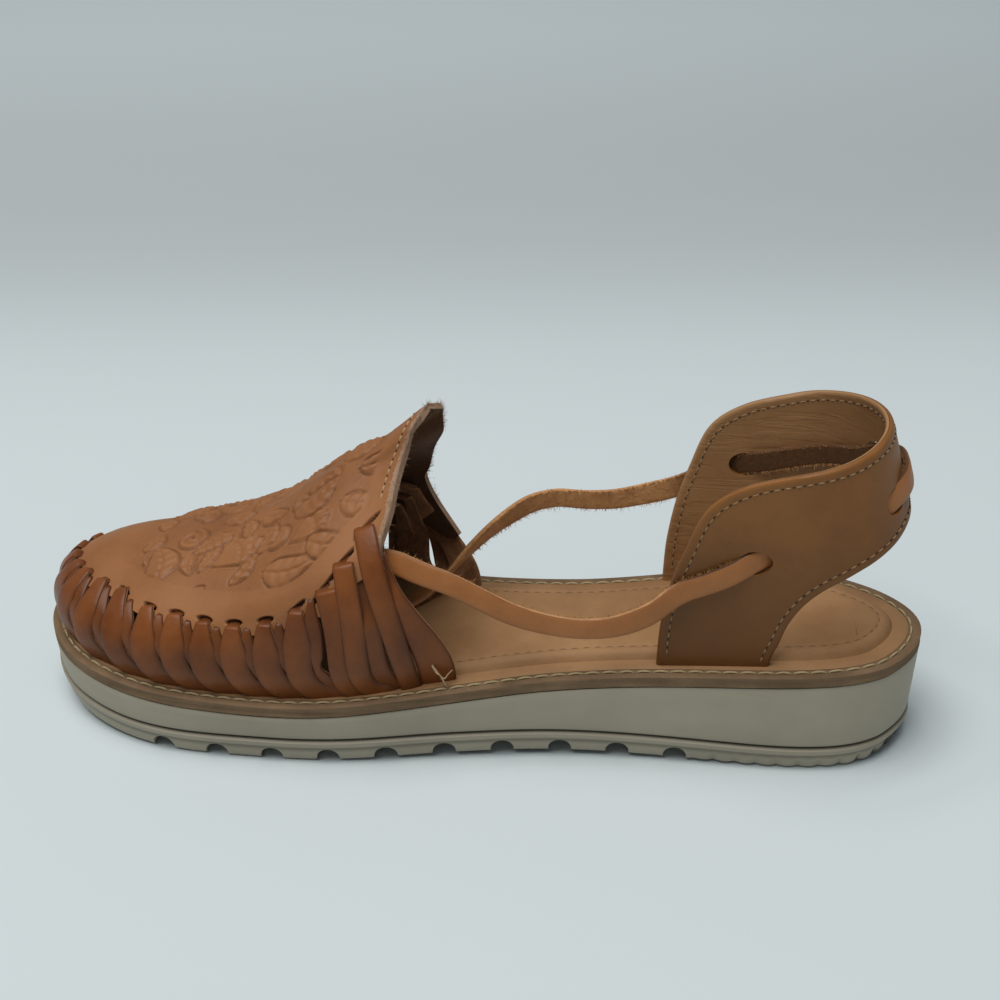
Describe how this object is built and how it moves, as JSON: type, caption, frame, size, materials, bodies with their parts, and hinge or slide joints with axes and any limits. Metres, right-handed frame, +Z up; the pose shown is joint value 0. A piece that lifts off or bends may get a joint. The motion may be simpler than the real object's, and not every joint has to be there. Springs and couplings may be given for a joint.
{
  "type": "woven ankle strap sandal",
  "caption": "Left open-heel sandal on a notched wedge sole, with a woven strap side, a tooled leather vamp, a heel sling and a flat ankle strap",
  "frame": {"origin": "middle of the sole's box, on the floor", "axes": "+X towards the heel, -X towards the toe, -Y lateral (outer) side, +Y medial side, +Z up"},
  "size_m": [0.252, 0.0823, 0.095],
  "materials": {
    "outsole": "matte cream foamed rubber",
    "midsole": "grey-brown stitched leather board",
    "insole": "soft tan lining leather",
    "upper": "tooled saddle leather with glossy brown straps",
    "heel_sling": "smooth saddle leather, pale lining",
    "ankle_strap": "flat leather thong, suede back"
  },
  "bodies": {
    "root": {"outsole": "outsole", "midsole": "midsole", "insole": "insole", "upper": "upper", "heel_sling": "heel_sling", "ankle_strap": "ankle_strap"}
  },
  "joints": []
}
